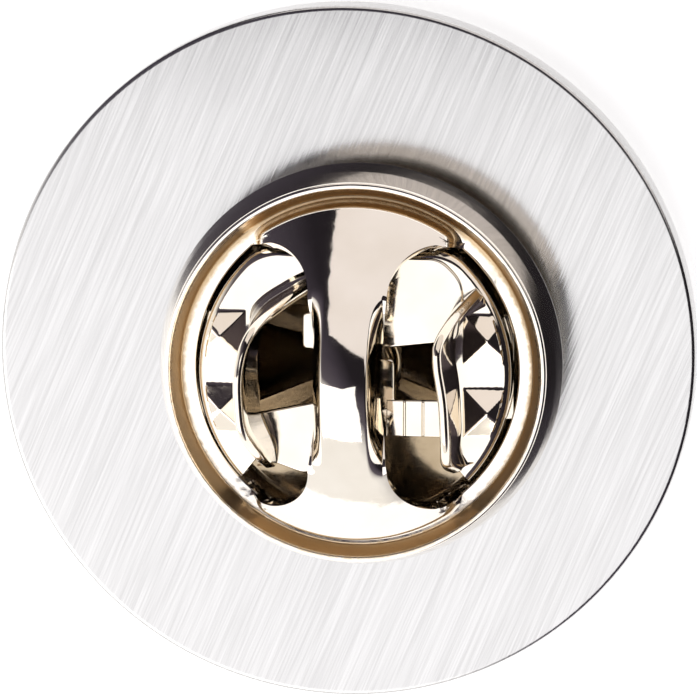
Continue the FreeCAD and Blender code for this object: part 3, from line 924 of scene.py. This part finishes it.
def wing_foot():
    """Foot plate, riser and hinge knuckle, which hold the wing's shell to the strap."""
    foot = plate(rounded([
        (FOOT_INNER_X, -FOOT_HALF_LENGTH, 0.1),
        (OUTLINE_RADIUS, -FOOT_HALF_LENGTH, 0.1),
        (OUTLINE_RADIUS, FOOT_HALF_LENGTH, 0.1),
        (FOOT_INNER_X, FOOT_HALF_LENGTH, 0.1),
    ]), FOOT_LOW, FOOT_HIGH, 0.05)
    riser_high = SKIRT_Z + 0.1
    riser = bmesh.new()
    lathe(riser, rounded([
        (OUTLINE_RADIUS - 0.36, RISER_LOW, 0.1),
        (OUTLINE_RADIUS - 0.1, RISER_LOW, 0.1),
        (OUTLINE_RADIUS, riser_high, 0.05),
        (OUTLINE_RADIUS - WING_THICK, riser_high, 0.05),
    ]), 192)
    cut = [vert for vert in riser.verts
           if abs(vert.co.y) > FOOT_HALF_LENGTH or vert.co.x < 0]
    bmesh.ops.delete(riser, geom=cut, context="VERTS")
    bmesh.ops.holes_fill(riser, edges=riser.edges)
    knuckle = bmesh.new()
    lathe(knuckle, rounded([
        (0, -KNUCKLE_HALF_LENGTH, 0),
        (KNUCKLE_RADIUS, -KNUCKLE_HALF_LENGTH, 0.05),
        (KNUCKLE_RADIUS, KNUCKLE_HALF_LENGTH, 0.05),
        (0, KNUCKLE_HALF_LENGTH, 0),
    ]), 24)
    along_y = Matrix.Rotation(math.radians(90), 4, "X")
    bmesh.ops.transform(knuckle, matrix=Matrix.Translation((KNUCKLE_X, 0, KNUCKLE_Z)) @ along_y,
                        verts=knuckle.verts)
    return merge(foot, riser, knuckle)


def make_wing(name, node, body, side):
    """Side 1 is the right wing. Side -1 is the left one: its shell is the right one's mirror,
    its arm and foot are turned half round, and it has a lip of its own."""
    rows = wing_rows()
    if side < 0:
        rows = [[(-x, y, z) for x, y, z in reversed(row)] for row in rows]
    shell = shell_from(rows, WING_THICK, SHEET_EDGE)
    rest = merge(arm_plate(broad=side > 0), wing_foot())
    turn = 0.0 if side > 0 else math.pi
    bmesh.ops.transform(rest, matrix=Matrix.Rotation(turn, 4, "Z"), verts=rest.verts)
    mesh_data = merge(shell, lip_ribbon(RIGHT_LIP if side > 0 else LEFT_LIP), rest)
    new_piece(name, mesh_data, body, node, spring_nickel, CLUTCH)


make_disc()
make_post()
make_solder()
make_base()
make_cap_ring()
make_cap_bridge()
make_strap()
make_wing("wing_right", "right_wing", "right_jaw", 1)
make_wing("wing_left", "left_wing", "left_jaw", -1)


# ---------------------------------------------------------------- studio

FLOOR_HALF = 0.6
FLOOR_DROP = 0.00005
PAPER = 0.93
PAPER_GLOW = 0.6

CAMERA_EAST = math.radians(6.2)
CAMERA_NORTH = math.radians(9.3)
CAMERA_DISTANCE = 0.18
SENSOR_WIDTH = 36
PICTURE_ASPECT = 700 / 697

# The world's brightness depends on how far a direction points toward WORLD_PALE_SIDE.
WORLD_PALE_SIDE = (-0.75, -0.66, 0)
WORLD_STOPS = [(0.0, (0.012, 0.01, 0.012)), (0.35, (0.02, 0.017, 0.022)),
               (0.5, (0.07, 0.06, 0.08)), (0.66, (0.12, 0.105, 0.13)), (0.78, (1.1, 1.08, 1.06))]


def make_floor():
    """Pale paper that glows a little, just under the disc."""
    mesh_data = bmesh.new()
    bmesh.ops.create_grid(mesh_data, x_segments=4, y_segments=4, size=FLOOR_HALF)
    mesh = bpy.data.meshes.new("floor")
    mesh_data.to_mesh(mesh)
    mesh_data.free()
    floor = bpy.data.objects.new("floor", mesh)
    floor.location.z = -FLOOR_DROP
    bpy.context.scene.collection.objects.link(floor)
    nodes = Nodes("paper")
    nodes.shader.inputs["Base Color"].default_value = (PAPER, PAPER, PAPER, 1)
    nodes.shader.inputs["Roughness"].default_value = 0.8
    nodes.shader.inputs["Emission Color"].default_value = (1, 1, 1, 1)
    nodes.shader.inputs["Emission Strength"].default_value = PAPER_GLOW
    mesh.materials.append(nodes.material)


def area_light(name, width, height, power):
    """Rectangular area light, linked to the scene and still to be placed."""
    light = bpy.data.lights.new(name, "AREA")
    light.shape = "RECTANGLE"
    light.size = width
    light.size_y = height
    light.energy = power
    lamp = bpy.data.objects.new(name, light)
    bpy.context.scene.collection.objects.link(lamp)
    return lamp


def soft_box(name, direction, distance, width, height, power, colour):
    """Area light that faces the object from a direction."""
    lamp = area_light(name, width, height, power)
    lamp.data.color = colour
    aim = Vector(direction).normalized()
    lamp.location = aim * distance
    lamp.rotation_mode = "QUATERNION"
    lamp.rotation_quaternion = (-aim).to_track_quat("-Z", "Y")


def overhead_panel(name, x_range, y_range, height, radiance):
    """Level panel of light above the object, given by its edges and its brightness."""
    width = x_range[1] - x_range[0]
    depth = y_range[1] - y_range[0]
    lamp = area_light(name, width, depth, radiance * math.pi * width * depth)
    lamp.location = (sum(x_range) / 2, sum(y_range) / 2, height)


def make_camera():
    """Camera almost straight above the disc, which fills the picture's width."""
    camera = bpy.data.objects.new("camera", bpy.data.cameras.new("camera"))
    bpy.context.scene.collection.objects.link(camera)
    toward = Vector((math.tan(CAMERA_EAST), math.tan(CAMERA_NORTH), 1)).normalized()
    target = Vector((0, 0, DISC_THICK / 2 * MM))
    camera.location = target + toward * CAMERA_DISTANCE
    right = Vector((0, 1, 0)).cross(toward).normalized()
    upward = toward.cross(right)
    camera.rotation_mode = "QUATERNION"
    camera.rotation_quaternion = Matrix((right, upward, toward)).transposed().to_quaternion()
    camera.data.sensor_width = SENSOR_WIDTH
    camera.data.lens = SENSOR_WIDTH * CAMERA_DISTANCE / (2 * DISC_RADIUS * MM * PICTURE_ASPECT)
    camera.data.clip_start = 0.01
    camera.data.clip_end = 10
    bpy.context.scene.camera = camera


def make_world():
    """Studio that is pale in the south-west and dark elsewhere, for contrast in the metal."""
    world = bpy.data.worlds.new("studio")
    bpy.context.scene.world = world
    world.use_nodes = True
    tree = world.node_tree
    background = tree.nodes["Background"]
    coordinates = tree.nodes.new("ShaderNodeTexCoord")
    toward = tree.nodes.new("ShaderNodeVectorMath")
    toward.operation = "DOT_PRODUCT"
    toward.inputs[1].default_value = WORLD_PALE_SIDE
    tree.links.new(coordinates.outputs["Generated"], toward.inputs[0])
    ramp = tree.nodes.new("ShaderNodeValToRGB")
    elements = ramp.color_ramp.elements
    while len(elements) < len(WORLD_STOPS):
        elements.new(1.0)
    for element, (position, colour) in zip(elements, WORLD_STOPS):
        element.position = position
        element.color = (*colour, 1)
    reach = tree.nodes.new("ShaderNodeMapRange")
    reach.inputs["From Min"].default_value = -1.0
    reach.inputs["From Max"].default_value = 1.0
    tree.links.new(toward.outputs["Value"], reach.inputs["Value"])
    tree.links.new(reach.outputs["Result"], ramp.inputs["Fac"])
    tree.links.new(ramp.outputs["Color"], background.inputs["Color"])
    background.inputs["Strength"].default_value = 1.0
    bpy.context.scene.view_settings.view_transform = "Standard"


make_floor()
make_world()
overhead_panel("key", x_range=(-1.0, 0.16), y_range=(-1.0, 0.0), height=0.5, radiance=1.45)
soft_box("north_east", direction=(0.42, 0.85, 0.5), distance=0.7, width=1.2, height=0.75,
         power=2.8, colour=(1.0, 0.94, 0.92))
make_camera()
